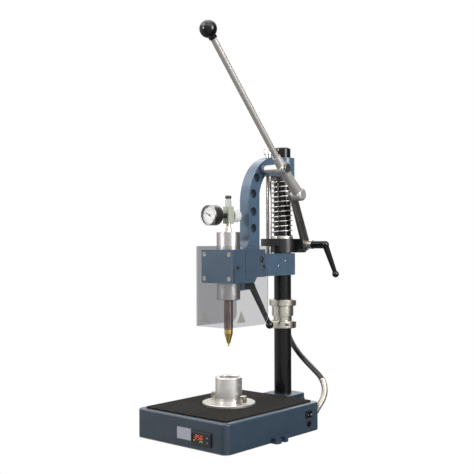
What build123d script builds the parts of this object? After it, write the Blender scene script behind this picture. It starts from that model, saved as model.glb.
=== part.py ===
from build123d import *
import math
import os

# Bench press with a heated brass tip, for setting threaded inserts in plastic.
# Millimetres. +X is the operator's right, +Y is back, +Z is up. The origin is on the bench,
# under the axis of the tip.

# ---- clearances -------------------------------------------------------------------------
running = 0.05          # radial clearance of a shaft in its hole
air_gap = 0.4           # between faces that move past each other
seat = 0.0              # faces that are bolted together

# ---- base -------------------------------------------------------------------------------
base_half_width = 121.0
base_front = -144.0
base_back = 152.0
base_height = 58.0
base_wall = 3.0
base_corner = 13.0
base_edge_round = 4.0
cover_thickness = 1.5
cover_inset = 0.6
cover_screw_r = 1.5
cover_boss_r = 5.0
cover_boss_inset = 17.0
lug_y = 6.0
lug_width = 38.0
lug_reach = 16.0
lug_height = 10.0
lug_slot = 10.0
mat_inset = 12.0
mat_thickness = 2.5
mat_corner = 8.0

# ---- column and its foot ----------------------------------------------------------------
column_y = 181.0
column_r = 19.0
column_top = 600.0
foot_half_width = 35.0
foot_depth = 66.0
foot_screw_y = 208.0
foot_screw_z = 44.0

# ---- nest -------------------------------------------------------------------------------
flange_r = 54.5
flange_thickness = 4.5
nest_r = 27.5
nest_bore_r = 20.0
nest_top = 116.0
nest_screw_x = 40.0
nest_screw_r = 2.5
nest_screw_head_r = 6.5
nest_screw_head = 16.0

# ---- controls in the base ---------------------------------------------------------------
controller_x = 60.0
controller_z = 23.0
controller_width = 50.0
controller_height = 26.0
controller_bezel = 4.0
controller_depth = 70.0
window_width = 33.0
window_height = 15.0
window_shift = -5.5
key_width = 8.0
key_height = 6.5
badge_centre_x = 13.5
badge_width = 37.0
badge_height = 22.5
badge_z = 26.75
badge_thickness = 0.8
switch_y = 111.0
switch_z = 37.0
switch_width = 22.0
switch_height = 15.0
switch_lip = 2.0
rocker_tilt = 8.0
rocker_pin_r = 0.9
rocker_pin_reach = 0.6
rocker_pin_depth = 1.0
fuse_z = 18.0
fuse_r = 6.2
fuse_cap_r = 4.5
inlet_x = -85.0
inlet_z = 30.0
inlet_width = 27.0
inlet_height = 20.0
gland_r = 8.0
gland_elbow = 11.0

# ---- stop on the column -----------------------------------------------------------------
stop_bottom = 202.4
stop_collar_height = 15.6
stop_collar_r = 30.0
sleeve_neck_r = 20.5
sleeve_neck = 11.0
sleeve_r = 24.0
sleeve_height = 22.0
sleeve_thread_r = 21.6
upper_collar_height = 14.0

# ---- head -------------------------------------------------------------------------------
head_half_width = 42.4
head_front = -37.5
head_back = 68.5
head_bottom = 308.6
head_top = 376.6
head_split_y = 4.0
head_slit = 1.0
step_bottom = 319.5
step_start_y = 33.0
step_end_y = 41.0
arm_half_width = 28.0
arm_top = 367.0
boss_r = 28.0
bush_r = 22.0
upper_boss_bottom = 535.0
upper_boss_top = 577.0
arch_half = 12.5
arch_front = 51.0
arch_inner = 86.0
arch_centre_y = 141.0
arch_centre_z = 474.0
arch_semi_y = 90.0
arch_semi_z = 102.0
arch_foot_r = 25.0
arch_hole_r = 9.5
arch_holes = [(66.0, 421.0), (66.0, 456.0), (66.5, 494.0), (77.0, 528.0)]
cap_screw_x = 33.5
cap_screw_z = 24.5
cap_head_r = 4.5
cap_head = 5.0
side_screw = (56.0, 356.0)
side_screw_hole_r = 6.5
guide_y = 133.0
guide_r = 6.0
guide_stud_r = 3.0
guide_foot = 340.0
rod_knob_r = 10.3
rod_knob_neck_r = 6.5
rod_knob_height = 18.0

# ---- guard ------------------------------------------------------------------------------
guard_thickness = 2.2
guard_front = -52.3
guard_back = 74.5
guard_bottom = 221.0
guard_top = 384.0
guard_fold_r = 5.0
guard_corner_r = 18.0
guard_screws_at = [(-20.0, 341.0), (63.5, 341.0)]

# ---- air cylinder, heater and tip -------------------------------------------------------
cylinder_r = 24.25
cylinder_bore_r = 20.0
cylinder_bottom = 274.0
cylinder_top = 412.5
end_cap_bottom = 24.0
end_cap_top = 7.0
rod_r = 6.0
piston_bottom = 318.0
piston_height = 14.0
ram_travel = 15.0
barrel_r = 9.25
barrel_bottom = 213.0
tip_bottom = 184.0
tip_spigot_r = 5.0
tip_nose_r = 3.2
pilot_r = 1.5
pilot_bottom = 178.3
flute_count = 6

# ---- air fittings -----------------------------------------------------------------------
fitting_r = 7.0
fitting_height = 17.0
regulator_half = 8.5
regulator_height = 35.5
gauge_z = 446.0
gauge_r = 20.5
gauge_front = -60.5
gauge_back = -35.0
gauge_stem_r = 5.0
gauge_rest_turn = -60.0
regulator_knob_r = 13.0
regulator_knob_start = 9.0
regulator_knob_length = 19.0
inlet_neck_r = 6.5
inlet_collar_r = 5.5
tube_bore_r = 2.0

# ---- lever, link and clamp block --------------------------------------------------------
lever_y = 100.0
lever_z = 546.4
lever_x = 63.0
lever_half = 12.0
lever_angle = 47.7
lever_length = 337.0
lever_rod_r = 6.5
ball_r = 17.25
crank_length = 77.9
crank_angle = -42.3
shaft_r = 6.0
shaft_boss_r = 11.0
shaft_boss_end = 20.0
pivot_y = 204.0
pivot_z = 386.0
link_inner_x = 43.5
link_thickness = 7.0
link_top_r = 13.0
link_bottom_r = 12.5
link_slack_r = 10.2
link_pin_r = 3.5
pivot_r = 6.0
block_bottom = 368.5
block_top = 399.0
block_r = 30.0
block_arm_x = 42.0
block_left_x = -22.0
ear_front = 120.0
ear_bottom = 383.0
ear_half = 12.0
cable_ear = (-30.0, 226.0)
washer_r = 24.0
washer_top = 405.0
spring_top = 528.0
spring_mean_r = 22.3
spring_wire_r = 1.5
spring_turns = 11
handle_hub_r = 8.5
handle_start_x = 67.0
handle_elbow_x = 98.0
handle_ball_r = 7.5
lock_x = 3.0
lock_z = 299.5
lock_start_y = 36.5
lock_elbow_y = 70.0

# ---- cable ------------------------------------------------------------------------------
cable_r = 6.0
cable_route = [
    (104.6, 170.1, 43.1), (108.4, 173.6, 51.0), (111.0, 178.5, 61.0), (110.5, 185.0, 73.5),
    (104.5, 190.5, 88.0), (91.5, 195.5, 101.5), (71.5, 199.5, 114.0), (46.0, 205.5, 128.5),
    (18.0, 214.5, 145.0), (-6.0, 222.0, 164.0), (-22.0, 226.0, 189.0), (-29.5, 228.0, 220.0),
    (-28.5, 228.0, 254.0), (-31.0, 226.5, 288.0), (-29.5, 226.0, 322.0), (-30.0, 226.0, 350.0),
    (-30.0, 226.0, 374.0),
]

BOTTOM = (Align.CENTER, Align.CENTER, Align.MIN)


# ---- small shape makers -----------------------------------------------------------------
def block(x0, x1, y0, y1, z0, z1):
    """A box between two corners."""
    return Pos((x0 + x1) / 2, (y0 + y1) / 2, (z0 + z1) / 2) * Box(x1 - x0, y1 - y0, z1 - z0)


def z_rod(r, z0, z1, x=0.0, y=0.0):
    """A cylinder standing along +Z."""
    return Pos(x, y, z0) * Cylinder(r, z1 - z0, align=BOTTOM)


def x_rod(r, x0, x1, y, z):
    """A cylinder lying along +X."""
    return Pos(x0, y, z) * Rot(0, 90, 0) * Cylinder(r, x1 - x0, align=BOTTOM)


def y_rod(r, y0, y1, x, z):
    """A cylinder lying along +Y."""
    return Pos(x, y0, z) * Rot(-90, 0, 0) * Cylinder(r, y1 - y0, align=BOTTOM)


def between(start, end, r0, r1=None):
    """A cylinder, or a cone, from one point to another."""
    axis = Vector(*end) - Vector(*start)
    place = Plane(origin=start, z_dir=axis).location
    if r1 is None:
        return place * Cylinder(r0, axis.length, align=BOTTOM)
    return place * Cone(r0, r1, axis.length, align=BOTTOM)


def ball(r, x, y, z):
    """A sphere at a point."""
    return Pos(x, y, z) * Sphere(r)


def rounded(x0, x1, y0, y1, z0, z1, r):
    """A box with rounded upright corners."""
    outline = Pos((x0 + x1) / 2, (y0 + y1) / 2, z0) * RectangleRounded(x1 - x0, y1 - y0, r)
    return extrude(outline, z1 - z0)


def ring(r_out, r_in, z0, z1, x=0.0, y=0.0):
    """A tube standing along +Z."""
    return z_rod(r_out, z0, z1, x, y) - z_rod(r_in, z0 - 1, z1 + 1, x, y)


def edge_rounded(part, axis, r, last=True):
    """Rounds the edges of the highest, or the lowest, flat face along an axis."""
    faces = part.faces().sort_by(axis)
    return fillet((faces[-1] if last else faces[0]).edges(), r)


# ---- base -------------------------------------------------------------------------------
def boss_places():
    """The four places where the bottom cover is screwed on."""
    x = base_half_width - cover_boss_inset
    return [(sx * x, y) for sx in (-1, 1)
            for y in (base_front + cover_boss_inset, base_back - cover_boss_inset)]


def base_housing():
    body = rounded(-base_half_width, base_half_width, base_front, base_back,
                   cover_thickness, base_height, base_corner)
    body = edge_rounded(body, Axis.Z, base_edge_round)
    body -= rounded(-base_half_width + base_wall, base_half_width - base_wall,
                    base_front + base_wall, base_back - base_wall,
                    cover_thickness - 1, base_height - base_wall, base_corner - base_wall)
    for x, y in boss_places():
        body += z_rod(cover_boss_r, cover_thickness, base_height - base_wall, x, y)
        body -= z_rod(cover_screw_r, 0, cover_thickness + 14, x, y)
    body -= block(controller_x - controller_width / 2 + 2.5, controller_x + controller_width / 2 - 2.5,
                  base_front - 1, base_front + base_wall + 1,
                  controller_z - controller_height / 2 + 2, controller_z + controller_height / 2 - 2)
    inner_w, inner_h = switch_width - 2 * switch_lip, switch_height - 2 * switch_lip
    body -= block(base_half_width - base_wall - 1, base_half_width + 1,
                  switch_y - inner_w / 2 - 0.8, switch_y + inner_w / 2 + 0.8,
                  switch_z - inner_h / 2 - 0.8, switch_z + inner_h / 2 + 0.8)
    body -= x_rod(fuse_r - 0.8, base_half_width - base_wall - 1, base_half_width + 1, switch_y, fuse_z)
    body -= block(inlet_x - inlet_width / 2, inlet_x + inlet_width / 2, base_back - base_wall - 1,
                  base_back + 1, inlet_z - inlet_height / 2, inlet_z + inlet_height / 2)
    elbow = gland_elbow_centre()
    body -= y_rod(gland_r - 2, base_back - base_wall - 1, base_back + 1, elbow.X, elbow.Z)
    for x in (-nest_screw_x, nest_screw_x):
        body -= z_rod(nest_screw_r + running, base_height - base_wall - 1, base_height + 1, x, 0)
    return body


def bolt_down_lugs():
    lugs = Part()
    for side in (-1, 1):
        near, far = side * base_half_width, side * (base_half_width + lug_reach)
        lug = block(min(near, far), max(near, far), lug_y - lug_width / 2, lug_y + lug_width / 2,
                    0, lug_height)
        outer = lug.edges().filter_by(Axis.Z).sort_by(Axis.X)
        lug = fillet(outer[-2:] if side > 0 else outer[:2], 5)
        middle = side * (base_half_width + lug_reach * 0.45)
        lug -= z_rod(lug_slot / 2, -1, lug_height + 1, middle, lug_y)
        lug -= block(min(middle, far + side), max(middle, far + side),
                     lug_y - lug_slot / 2, lug_y + lug_slot / 2, -1, lug_height + 1)
        lugs += lug
    return lugs


def base_cover_plate():
    plate = rounded(-base_half_width + cover_inset, base_half_width - cover_inset,
                    base_front + cover_inset, base_back - cover_inset, 0, cover_thickness,
                    base_corner - cover_inset)
    for x, y in boss_places():
        plate -= z_rod(cover_screw_r + 0.2, -1, cover_thickness + 1, x, y)
        plate -= Pos(x, y, 0) * Cone(3.0, cover_screw_r + 0.2, 1.3, align=BOTTOM)
    return plate


def cover_screws():
    screws = []
    for x, y in boss_places():
        head = Pos(x, y, 0.1) * Cone(2.75, cover_screw_r, 1.2, align=BOTTOM)
        screws.append(head + z_rod(cover_screw_r, 0.1, cover_thickness + 12, x, y))
    return Compound(children=screws)


def work_mat():
    mat = rounded(-base_half_width + mat_inset, base_half_width - mat_inset,
                  base_front + mat_inset, base_back - mat_inset,
                  base_height, base_height + mat_thickness, mat_corner)
    for x in (-nest_screw_x, nest_screw_x):
        mat -= z_rod(nest_screw_r + 0.5, base_height - 1, base_height + mat_thickness + 1, x, 0)
    return mat


def column_foot():
    foot = rounded(-foot_half_width, foot_half_width, base_back - 12, base_back + foot_depth,
                   0, base_height, 8)
    foot -= block(-foot_half_width - 1, foot_half_width + 1, base_back - 13, base_back, -1, base_height + 1)
    back = foot.faces().sort_by(Axis.Z)[-1].edges().sort_by(Axis.Y)[1:]
    foot = fillet(back, 2.5)
    foot -= z_rod(column_r, -1, base_height + 1, 0, column_y)
    foot -= block(-1, 1, column_y, base_back + foot_depth + 1, -1, base_height + 1)
    foot -= x_rod(3.0, -foot_half_width - 1, foot_half_width + 1, foot_screw_y, foot_screw_z)
    foot -= x_rod(5.2, foot_half_width - 4, foot_half_width + 1, foot_screw_y, foot_screw_z)
    return foot


def column_foot_screw():
    screw = x_rod(3.0, -foot_half_width + 4, foot_half_width - 4, foot_screw_y, foot_screw_z)
    screw += x_rod(5.0, foot_half_width - 4, foot_half_width + 1.5, foot_screw_y, foot_screw_z)
    return screw - x_rod(2.2, foot_half_width - 1.5, foot_half_width + 2, foot_screw_y, foot_screw_z)


def column():
    post = z_rod(column_r, 0, column_top, 0, column_y)
    return chamfer(post.faces().sort_by(Axis.Z)[-1].edges(), 2)


# ---- nest -------------------------------------------------------------------------------
nest_floor = base_height + mat_thickness
flange_top = nest_floor + flange_thickness


def nest_flange():
    flange = chamfer(z_rod(flange_r, nest_floor, flange_top).faces().sort_by(Axis.Z)[-1].edges(), 1)
    flange -= z_rod(nest_r, flange_top - 1.5, flange_top + 1)
    for x in (-nest_screw_x, nest_screw_x):
        flange -= z_rod(nest_screw_r + 0.3, nest_floor - 1, flange_top + 1, x, 0)
    return flange


def nest_tube():
    tube = ring(nest_r, nest_bore_r, flange_top - 1.5, nest_top)
    return chamfer(tube.faces().sort_by(Axis.Z)[-1].edges(), 1.2)


def nest_screw(x):
    base = flange_top + 0.2
    screw = z_rod(nest_screw_head_r, base + 2, base + nest_screw_head, x, 0)
    screw = chamfer(screw.edges(), 0.8)
    for step in range(24):
        turn = math.radians(step * 15)
        screw -= z_rod(0.45, base + 3, base + nest_screw_head - 1.2,
                       x + nest_screw_head_r * math.cos(turn), nest_screw_head_r * math.sin(turn))
    screw += z_rod(4.5, base, base + 3, x, 0)
    return screw + z_rod(nest_screw_r, base_height - 10, base + 1, x, 0)


# ---- controls in the base ---------------------------------------------------------------
bezel_front = base_front - controller_bezel
window_x = controller_x + window_shift
key_x = controller_x + controller_width / 2 - 3.0 - key_width / 2


def controller_case():
    case = block(controller_x - controller_width / 2, controller_x + controller_width / 2,
                 bezel_front, base_front,
                 controller_z - controller_height / 2, controller_z + controller_height / 2)
    case = edge_rounded(case, Axis.Y, 1.2, last=False)
    case += block(controller_x - controller_width / 2 + 2.5, controller_x + controller_width / 2 - 2.5,
                  base_front, base_front + controller_depth,
                  controller_z - controller_height / 2 + 2, controller_z + controller_height / 2 - 2)
    case -= block(window_x - window_width / 2, window_x + window_width / 2,
                  bezel_front - 1, bezel_front + 2.5,
                  controller_z - window_height / 2, controller_z + window_height / 2)
    for z in key_heights():
        case -= block(key_x - key_width / 2 - 0.3, key_x + key_width / 2 + 0.3, bezel_front - 1,
                      bezel_front + 3.5, z - key_height / 2 - 0.3, z + key_height / 2 + 0.3)
    return case


def key_heights():
    """The heights of the controller's two keys."""
    return (controller_z - 4.5, controller_z + 4.5)


def controller_window():
    return block(window_x - window_width / 2, window_x + window_width / 2,
                 bezel_front + 1, bezel_front + 2.5,
                 controller_z - window_height / 2, controller_z + window_height / 2)


def controller_key(z):
    key = block(key_x - key_width / 2, key_x + key_width / 2, bezel_front - 0.8, bezel_front + 2.3,
                z - key_height / 2, z + key_height / 2)
    return edge_rounded(key, Axis.Y, 0.5, last=False)


def badge_plate():
    plate = block(badge_centre_x - badge_width / 2, badge_centre_x + badge_width / 2,
                  base_front - badge_thickness, base_front,
                  badge_z - badge_height / 2, badge_z + badge_height / 2)
    return fillet(plate.edges().filter_by(Axis.Y), 1.0)


def switch_frame():
    inner_w, inner_h = switch_width - 2 * switch_lip, switch_height - 2 * switch_lip
    frame = block(base_half_width, base_half_width + 1.6, switch_y - switch_width / 2,
                  switch_y + switch_width / 2, switch_z - switch_height / 2, switch_z + switch_height / 2)
    frame += block(base_half_width - 16, base_half_width, switch_y - inner_w / 2 - 0.8,
                   switch_y + inner_w / 2 + 0.8, switch_z - inner_h / 2 - 0.8, switch_z + inner_h / 2 + 0.8)
    frame -= block(base_half_width - 9, base_half_width + 3, switch_y - inner_w / 2,
                   switch_y + inner_w / 2, switch_z - inner_h / 2, switch_z + inner_h / 2)
    pin_end = inner_h / 2 + rocker_pin_reach + running
    return frame - z_rod(rocker_pin_r + running, switch_z - pin_end, switch_z + pin_end,
                         base_half_width - rocker_pin_depth, switch_y)


def switch_rocker():
    half_w = switch_width / 2 - switch_lip - 0.7
    half_h = switch_height / 2 - switch_lip - 0.35
    cap = block(-4.5, 4.0, -half_w, half_w, -half_h, half_h)
    cap = fillet(cap.edges().filter_by(Axis.Z).sort_by(Axis.X)[-2:], 1.0)
    pin_end = switch_height / 2 - switch_lip + rocker_pin_reach
    cap += z_rod(rocker_pin_r, -pin_end, pin_end)
    return Pos(base_half_width - rocker_pin_depth, switch_y, switch_z) * Rot(0, 0, -rocker_tilt) * cap


def fuse_holder():
    holder = x_rod(fuse_r, base_half_width, base_half_width + 2, switch_y, fuse_z)
    holder += x_rod(fuse_r - 0.8, base_half_width - 22, base_half_width, switch_y, fuse_z)
    return holder - x_rod(fuse_cap_r + running, base_half_width - 12, base_half_width + 3, switch_y, fuse_z)


def fuse_cap():
    cap = x_rod(fuse_cap_r, base_half_width - 11, base_half_width + 3.5, switch_y, fuse_z)
    return cap - block(base_half_width + 2.3, base_half_width + 4, switch_y - 3, switch_y + 3,
                       fuse_z - 0.6, fuse_z + 0.6)


def power_inlet():
    body = block(inlet_x - inlet_width / 2, inlet_x + inlet_width / 2, base_back - 24, base_back,
                 inlet_z - inlet_height / 2, inlet_z + inlet_height / 2)
    body += block(inlet_x - inlet_width / 2 - 10, inlet_x + inlet_width / 2 + 10, base_back, base_back + 2.5,
                  inlet_z - inlet_height / 2 - 2, inlet_z + inlet_height / 2 + 2)
    body -= block(inlet_x - inlet_width / 2 + 2, inlet_x + inlet_width / 2 - 2, base_back - 16, base_back + 3,
                  inlet_z - inlet_height / 2 + 2, inlet_z + inlet_height / 2 - 2)
    for dx, dz in ((-7, -2), (0, 3), (7, -2)):
        body += block(inlet_x + dx - 1, inlet_x + dx + 1, base_back - 17, base_back - 2,
                      inlet_z + dz - 2, inlet_z + dz + 2)
    return body


def gland_elbow_centre():
    """Where the gland turns up, so that its mouth meets the cable square."""
    start, following = Vector(*cable_route[0]), Vector(*cable_route[1])
    return start - (following - start).normalized() * gland_elbow


def base_gland():
    elbow = gland_elbow_centre()
    gland = y_rod(gland_r, base_back, base_back + 6, elbow.X, elbow.Z)
    gland += y_rod(gland_r - 2, base_back - 10, elbow.Y, elbow.X, elbow.Z)
    gland += ball(gland_r - 0.7, *elbow)
    return gland + between(tuple(elbow), cable_route[0], gland_r - 1.4)


def power_board():
    board = block(-70, 40, -60, 50, 9, 10.6)
    for x in (-64, 34):
        for y in (-54, 44):
            board += z_rod(3, cover_thickness, 9, x, y)
    board += block(-60, -10, -40, 20, 10.6, 44)
    board += block(5, 33, -40, 0, 10.6, 32)
    return board + z_rod(8, 10.6, 34, 15, 25)


# ---- stop on the column -----------------------------------------------------------------
collar_top = stop_bottom + stop_collar_height
neck_top = collar_top + sleeve_neck
sleeve_top = neck_top + sleeve_height
stop_bore = column_r + running


def stop_lower_collar():
    collar = ring(stop_collar_r, stop_bore, stop_bottom, collar_top, 0, column_y)
    collar = chamfer(collar.edges().filter_by(GeomType.CIRCLE).sort_by(SortBy.RADIUS)[-2:], 1)
    middle = (stop_bottom + collar_top) / 2
    collar -= block(0, stop_collar_r + 1, column_y - 1, column_y + 1, stop_bottom - 1, collar_top + 1)
    return collar - y_rod(2.5, column_y - 40, column_y + 40, stop_bore + 5.5, middle)


def stop_collar_screw():
    middle = (stop_bottom + collar_top) / 2
    x = stop_bore + 5.5
    screw = y_rod(2.5, column_y - 16, column_y + 14, x, middle)
    return screw


def stop_sleeve():
    sleeve = z_rod(sleeve_neck_r, collar_top, neck_top, 0, column_y)
    sleeve += z_rod(sleeve_r, neck_top, sleeve_top, 0, column_y)
    sleeve += z_rod(sleeve_thread_r, sleeve_top, sleeve_top + upper_collar_height, 0, column_y)
    return sleeve - z_rod(stop_bore, collar_top - 1, sleeve_top + upper_collar_height + 1, 0, column_y)


def stop_upper_collar():
    bottom = sleeve_top + 0.3
    top = sleeve_top + upper_collar_height + 0.3
    collar = ring(stop_collar_r, sleeve_thread_r + running, bottom, top, 0, column_y)
    collar = chamfer(collar.edges().filter_by(GeomType.CIRCLE).sort_by(SortBy.RADIUS)[-2:], 1)
    for step in range(4):
        turn = math.radians(20 + 90 * step)
        collar -= Pos(stop_collar_r * math.cos(turn), column_y + stop_collar_r * math.sin(turn),
                      (bottom + top) / 2) * Rot(0, 0, math.degrees(turn)) * Rot(0, 90, 0) * Cylinder(2.4, 9)
    return collar


# ---- head -------------------------------------------------------------------------------
def side_outline():
    """The arch seen from the side: its outer and inner edges in Y and Z."""
    foot = head_top - 4
    corner = (arch_front, arch_centre_z)
    crown = (arch_centre_y, arch_centre_z + arch_semi_z)
    outer = EllipticalCenterArc((arch_centre_y, arch_centre_z), arch_semi_y, arch_semi_z,
                                start_angle=180, arc_size=-90)
    inner = ThreePointArc((arch_inner, 493), (92.5, 515), (107, upper_boss_bottom))
    edges = [Line((arch_front, foot), corner), outer,
             Line(crown, (column_y, crown[1])), Line((column_y, crown[1]), (column_y, upper_boss_bottom)),
             Line((column_y, upper_boss_bottom), (107, upper_boss_bottom)), inner,
             Line((arch_inner, 493), (arch_inner, foot)), Line((arch_inner, foot), (arch_front, foot))]
    return make_face(Curve() + edges)


def arch():
    body = extrude(Plane.YZ.offset(-arch_half) * side_outline(), 2 * arch_half)
    flare = block(-arch_half, arch_half, arch_front - arch_foot_r, arch_front + 1, head_top - 4,
                  head_top + arch_foot_r)
    flare -= x_rod(arch_foot_r, -arch_half - 1, arch_half + 1, arch_front - arch_foot_r,
                   head_top + arch_foot_r)
    body += flare
    for y, z in arch_holes:
        body -= x_rod(arch_hole_r, -arch_half - 1, arch_half + 1, y, z)
    return body


def head_block():
    """The whole clamping block, before it is split along the slit."""
    body = block(-head_half_width, head_half_width, head_front, head_back, head_bottom, head_top)
    body = fillet(body.edges().filter_by(Axis.Z).sort_by(Axis.Y)[:2], 3)
    slope = Polyline((step_start_y, head_bottom), (step_end_y, step_bottom),
                     (head_back + 2, step_bottom), (head_back + 2, head_bottom - 2),
                     (step_start_y, head_bottom - 2), close=True)
    cut = extrude(Plane.YZ.offset(-head_half_width - 1) * make_face(slope), 2 * head_half_width + 2)
    body -= cut
    body -= z_rod(cylinder_r, head_bottom - 1, head_top + 1)
    return body - x_rod(2, -head_half_width - 1, head_half_width + 1, head_split_y, 332)


def head_casting():
    body = head_block() - block(-head_half_width - 1, head_half_width + 1, head_front - 1,
                                head_split_y + head_slit / 2, head_bottom - 1, head_top + 1)
    body += block(-arm_half_width, arm_half_width, head_back - 8, column_y, step_bottom, arm_top)
    body += z_rod(boss_r, step_bottom, arm_top, 0, column_y)
    body += arch()
    body += z_rod(boss_r, upper_boss_bottom, upper_boss_top, 0, column_y)
    body += x_rod(shaft_boss_r, -arch_half - 4, shaft_boss_end, lever_y, lever_z)
    body += block(lock_x - 11, lock_x + 11, cylinder_r - 1, lock_start_y - 1.5, lock_z - 8, head_bottom + 3)
    body -= z_rod(cylinder_r, lock_z - 9, head_top + 1)
    body -= y_rod(4 + running, cylinder_r - 4, lock_start_y, lock_x, lock_z)
    body -= z_rod(bush_r, step_bottom - 1, arm_top + 1, 0, column_y)
    body -= z_rod(bush_r, upper_boss_bottom - 1, upper_boss_top + 1, 0, column_y)
    body -= z_rod(guide_r, guide_foot, arm_top + 1, 0, guide_y)
    body -= z_rod(guide_r, upper_boss_bottom - 8, upper_boss_top + 1, 0, guide_y)
    body -= x_rod(shaft_r, -arch_half - 6, shaft_boss_end + 1, lever_y, lever_z)
    y, z = side_screw
    body -= x_rod(side_screw_hole_r, head_half_width - 8, head_half_width + 1, y, z)
    for x in (-cap_screw_x, cap_screw_x):
        for dz in (-cap_screw_z, cap_screw_z):
            body -= y_rod(2.5, head_split_y, head_split_y + 14, x, (head_bottom + head_top) / 2 + dz)
    for y, z in guard_screws_at[1:]:
        for side in (-1, 1):
            body -= x_rod(1.5, min(side * 36, side * 43), max(side * 36, side * 43), y, z)
    return body


def head_cap():
    body = head_block() - block(-head_half_width - 1, head_half_width + 1,
                                head_split_y - head_slit / 2, head_back + 3, head_bottom - 1, head_top + 1)
    middle = (head_bottom + head_top) / 2
    for x in (-cap_screw_x, cap_screw_x):
        for dz in (-cap_screw_z, cap_screw_z):
            body -= y_rod(2.5, head_front - 1, head_split_y + 1, x, middle + dz)
            body -= y_rod(cap_head_r + 0.3, head_front - 1, head_front + cap_head, x, middle + dz)
    for y, z in guard_screws_at[:1]:
        for side in (-1, 1):
            body -= x_rod(1.5, min(side * 36, side * 43), max(side * 36, side * 43), y, z)
    return body


def head_screws():
    screws = []
    middle = (head_bottom + head_top) / 2
    for x in (-cap_screw_x, cap_screw_x):
        for dz in (-cap_screw_z, cap_screw_z):
            screw = y_rod(cap_head_r, head_front + 0.4, head_front + cap_head, x, middle + dz)
            screw += y_rod(2.5, head_front + cap_head - 1, head_split_y + 12, x, middle + dz)
            screws.append(screw - y_rod(2.2, head_front - 1, head_front + 3.2, x, middle + dz))
    y, z = side_screw
    screw = x_rod(4.5, head_half_width - 8, head_half_width - 2, y, z)
    screws.append(screw - x_rod(2.2, head_half_width - 4.5, head_half_width, y, z))
    return Compound(children=screws)


def head_bushes():
    lower = ring(bush_r, column_r + running, step_bottom, arm_top, 0, column_y)
    upper = z_rod(bush_r, spring_top, upper_boss_top, 0, column_y)
    upper += z_rod(washer_r, spring_top, upper_boss_bottom, 0, column_y)
    upper -= z_rod(column_r + running, spring_top - 1, upper_boss_top + 1, 0, column_y)
    return Compound(children=[lower, upper])


def guide_rod():
    rod = z_rod(guide_r, guide_foot, upper_boss_top, 0, guide_y)
    return rod + z_rod(guide_stud_r, upper_boss_top, upper_boss_top + rod_knob_height - 4, 0, guide_y)


def guide_rod_knob():
    base = upper_boss_top + 0.3
    knob = z_rod(rod_knob_r, base + 4, base + rod_knob_height, 0, guide_y)
    knob = chamfer(knob.edges(), 1)
    for step in range(30):
        turn = math.radians(step * 12)
        knob -= z_rod(0.55, base + 5.5, base + rod_knob_height - 1.5,
                      rod_knob_r * math.cos(turn), guide_y + rod_knob_r * math.sin(turn))
    knob += z_rod(rod_knob_neck_r, base, base + 5, 0, guide_y)
    return knob - z_rod(guide_stud_r + running, base - 1, upper_boss_top + rod_knob_height - 3.5, 0, guide_y)


# ---- guard ------------------------------------------------------------------------------
guard_half = head_half_width + guard_thickness


def guard():
    shell = rounded(-guard_half, guard_half, guard_front, guard_back + 20, guard_bottom, guard_top,
                    guard_fold_r)
    shell -= rounded(-head_half_width, head_half_width, guard_front + guard_thickness, guard_back + 40,
                     guard_bottom - 1, guard_top + 1, guard_fold_r - guard_thickness)
    side = block(-60, 60, guard_front - 1, guard_back, guard_bottom, guard_top)
    side = fillet(side.edges().filter_by(Axis.X).sort_by(Axis.Y)[-2:].sort_by(Axis.Z)[0:1], guard_corner_r)
    shell &= side
    for y, z in guard_screws_at:
        shell -= x_rod(1.6, -60, 60, y, z)
    return shell


def guard_screws():
    screws = []
    for y, z in guard_screws_at:
        for side in (-1, 1):
            inner, face, outer = side * 37, side * guard_half, side * (guard_half + 1.8)
            screw = x_rod(1.5, min(inner, face), max(inner, face), y, z)
            screws.append(screw + x_rod(3.2, min(face, outer), max(face, outer), y, z))
    return Compound(children=screws)


# ---- air cylinder, heater and tip -------------------------------------------------------
cap_inner = cylinder_bottom + end_cap_bottom
barrel_top = cylinder_bottom + 2.5


def cylinder_tube():
    return ring(cylinder_r, cylinder_bore_r, cap_inner, cylinder_top - end_cap_top)


def cylinder_end_caps():
    lower = chamfer(z_rod(cylinder_r, cylinder_bottom, cap_inner).faces().sort_by(Axis.Z)[0].edges(), 1)
    lower -= z_rod(barrel_r + 0.1, cylinder_bottom - 1, barrel_top + ram_travel + 1)
    lower -= z_rod(rod_r + running, cylinder_bottom, cap_inner + 1)
    upper = z_rod(cylinder_r, cylinder_top - end_cap_top, cylinder_top)
    upper = chamfer(upper.faces().sort_by(Axis.Z)[-1].edges(), 1)
    upper -= z_rod(3, cylinder_top - end_cap_top - 1, cylinder_top + 1)
    return Compound(children=[lower, upper])


def piston():
    body = z_rod(cylinder_bore_r - running, piston_bottom, piston_bottom + piston_height)
    return body + z_rod(rod_r, barrel_top - 14, piston_bottom + 1)


def heater_barrel():
    body = z_rod(barrel_r, barrel_bottom, barrel_top)
    body = chamfer(body.faces().sort_by(Axis.Z)[0].edges(), 0.8)
    body -= z_rod(rod_r, barrel_top - 14, barrel_top + 1)
    return body - z_rod(tip_spigot_r, barrel_bottom - 1, barrel_bottom + 10)


def brass_tip():
    shoulder = barrel_bottom - 9
    tip = z_rod(barrel_r - 0.6, shoulder, barrel_bottom)
    tip += Pos(0, 0, tip_bottom) * Cone(tip_nose_r, barrel_r - 0.6, shoulder - tip_bottom, align=BOTTOM)
    for step in range(flute_count):
        turn = math.radians(step * 360 / flute_count + 15)
        tip -= between((2.2 + 1.6) * Vector(math.cos(turn), math.sin(turn), 0) + Vector(0, 0, tip_bottom - 2),
                       11.0 * Vector(math.cos(turn), math.sin(turn), 0) + Vector(0, 0, barrel_bottom - 4), 1.3)
    tip += z_rod(tip_spigot_r, shoulder, barrel_bottom + 9)
    return tip + z_rod(pilot_r, pilot_bottom, shoulder)


# ---- air fittings -----------------------------------------------------------------------
regulator_bottom = cylinder_top + fitting_height
regulator_top = regulator_bottom + regulator_height


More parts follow.
